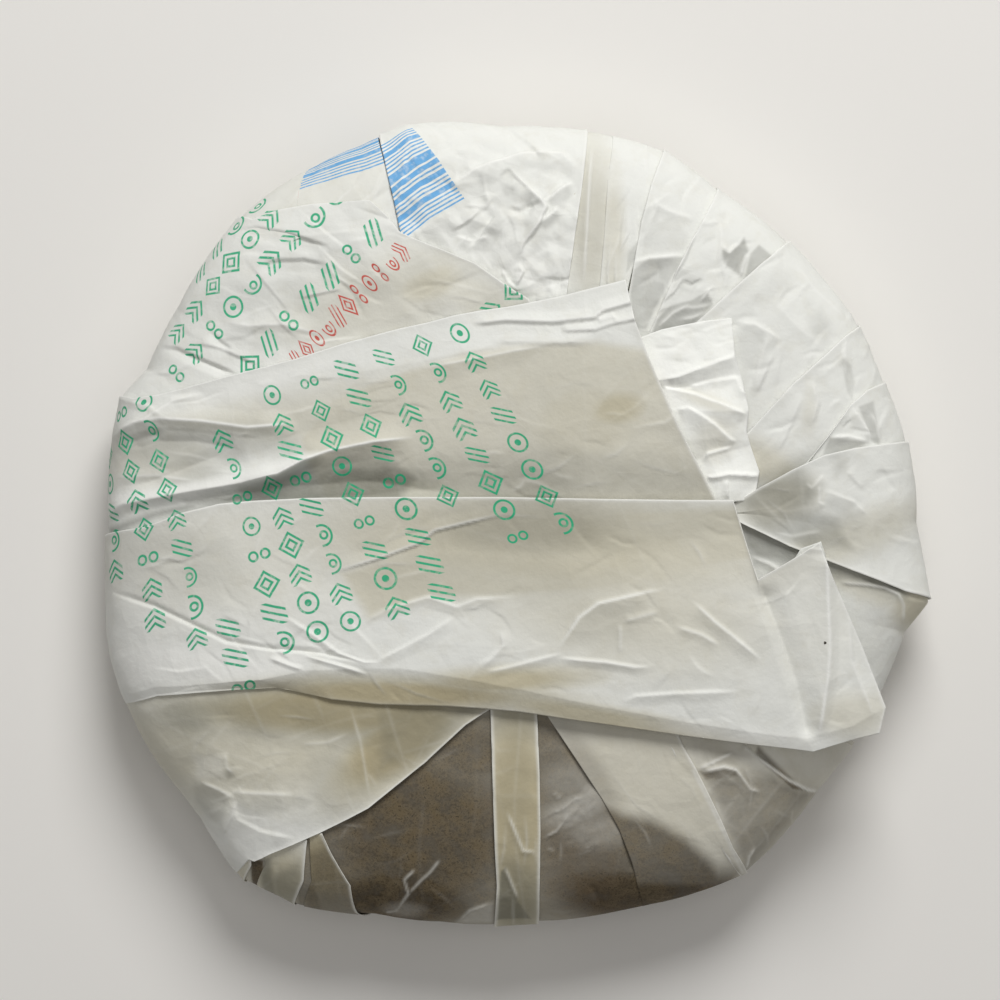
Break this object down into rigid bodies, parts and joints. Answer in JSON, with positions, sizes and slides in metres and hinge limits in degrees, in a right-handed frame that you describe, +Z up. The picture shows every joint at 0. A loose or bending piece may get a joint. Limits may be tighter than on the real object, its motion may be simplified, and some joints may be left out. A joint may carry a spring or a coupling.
{
  "type": "wrapped pu erh tea cake",
  "caption": "Round pressed tea cake in a thin paper wrapper, its pleated back up, with the gathered end of the paper folded over as a raised flap.",
  "frame": {"origin": "centre of the flat spot of the smooth face that the cake lies on", "axes": "+Z up through the thickness, from the smooth face to the pleated back; +Y towards the edge that is uppermost when the cake stands as in the picture; +X towards the free end of the flap"},
  "size_m": [0.1145, 0.1101, 0.024],
  "materials": {
    "paper": "thin matt cotton paper, creased, with the dark tea showing through where it is one layer thick"
  },
  "bodies": {
    "root": {"wrapped_tea_cake": "paper"}
  },
  "joints": []
}
